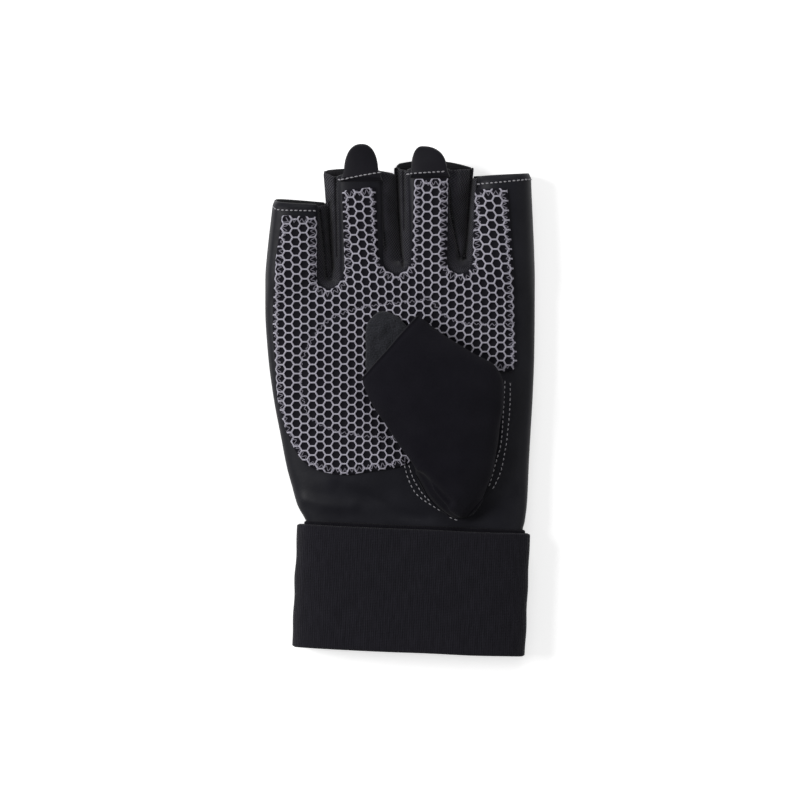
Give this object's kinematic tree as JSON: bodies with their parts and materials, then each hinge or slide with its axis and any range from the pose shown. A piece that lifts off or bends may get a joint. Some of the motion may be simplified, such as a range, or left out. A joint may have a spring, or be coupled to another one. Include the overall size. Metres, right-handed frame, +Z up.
{
  "type": "weightlifting glove",
  "caption": "Half-finger training glove lying palm up: grip patch of raised hexagons, mesh gussets, pull tabs, folded-over thumb stall and wound elastic wrist wrap.",
  "frame": {"origin": "middle of the glove's footprint, on the surface that it lies on", "axes": "+Y towards the fingertips, +X towards the thumb side, +Z up, out of the palm"},
  "size_m": [0.108, 0.204, 0.0316],
  "materials": {
    "back_cloth": "matt black stretch cloth",
    "palm_leather": "smooth soft black leather with a slight sheen",
    "hexagon_grip": "black cloth with a raised lavender grey hexagon print",
    "gusset_mesh": "black ribbed mesh knit",
    "tab_leather": "smooth black leather",
    "thumb_suede": "matt black suede",
    "terry": "fuzzy black terry cloth",
    "elastic_lining": "black elastic tape",
    "elastic_band": "black woven elastic with fine ribs",
    "hook_tape": "black hook tape on webbing"
  },
  "bodies": {
    "root": {"back_panel": "back_cloth", "palm_panel": "palm_leather", "grip_patch": "hexagon_grip", "gusset_little_ring": "gusset_mesh", "gusset_ring_middle": "gusset_mesh", "gusset_middle_index": "gusset_mesh", "pull_tab_ring": "tab_leather", "pull_tab_middle": "tab_leather", "thumb_front": "thumb_suede", "thumb_back": "terry", "wrist_lining": "elastic_lining", "wrist_wrap": "elastic_band", "hook_tab": "hook_tape"}
  },
  "joints": []
}
